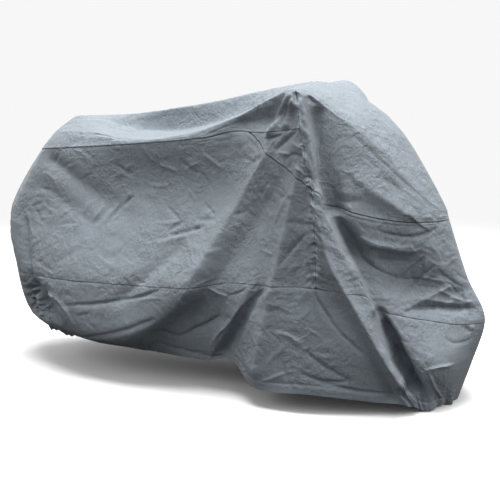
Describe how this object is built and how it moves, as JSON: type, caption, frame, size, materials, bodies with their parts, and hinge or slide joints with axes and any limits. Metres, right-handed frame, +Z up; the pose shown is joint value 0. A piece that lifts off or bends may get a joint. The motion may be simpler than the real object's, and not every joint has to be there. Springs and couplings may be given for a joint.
{
  "type": "motorcycle cover",
  "caption": "Fitted woven-cloth motorcycle cover in its draped shape, hollow and open below, with sewn crown, hood, gusset, side and skirt panels and a gathered hem.",
  "frame": {"origin": "on the inner face of the crown over the saddle, in the centre plane", "axes": "+X to the front of the vehicle, +Y to its left, +Z up"},
  "size_m": [2.1585, 0.8453, 1.2641],
  "materials": {
    "cover_cloth": "plain coated weave, dull"
  },
  "bodies": {
    "root": {"crown_panel": "cover_cloth", "hood_panel": "cover_cloth", "gusset_right": "cover_cloth", "gusset_left": "cover_cloth", "side_rear_right": "cover_cloth", "side_rear_left": "cover_cloth", "side_front_right": "cover_cloth", "side_front_left": "cover_cloth", "skirt_right": "cover_cloth", "skirt_left": "cover_cloth"}
  },
  "joints": []
}
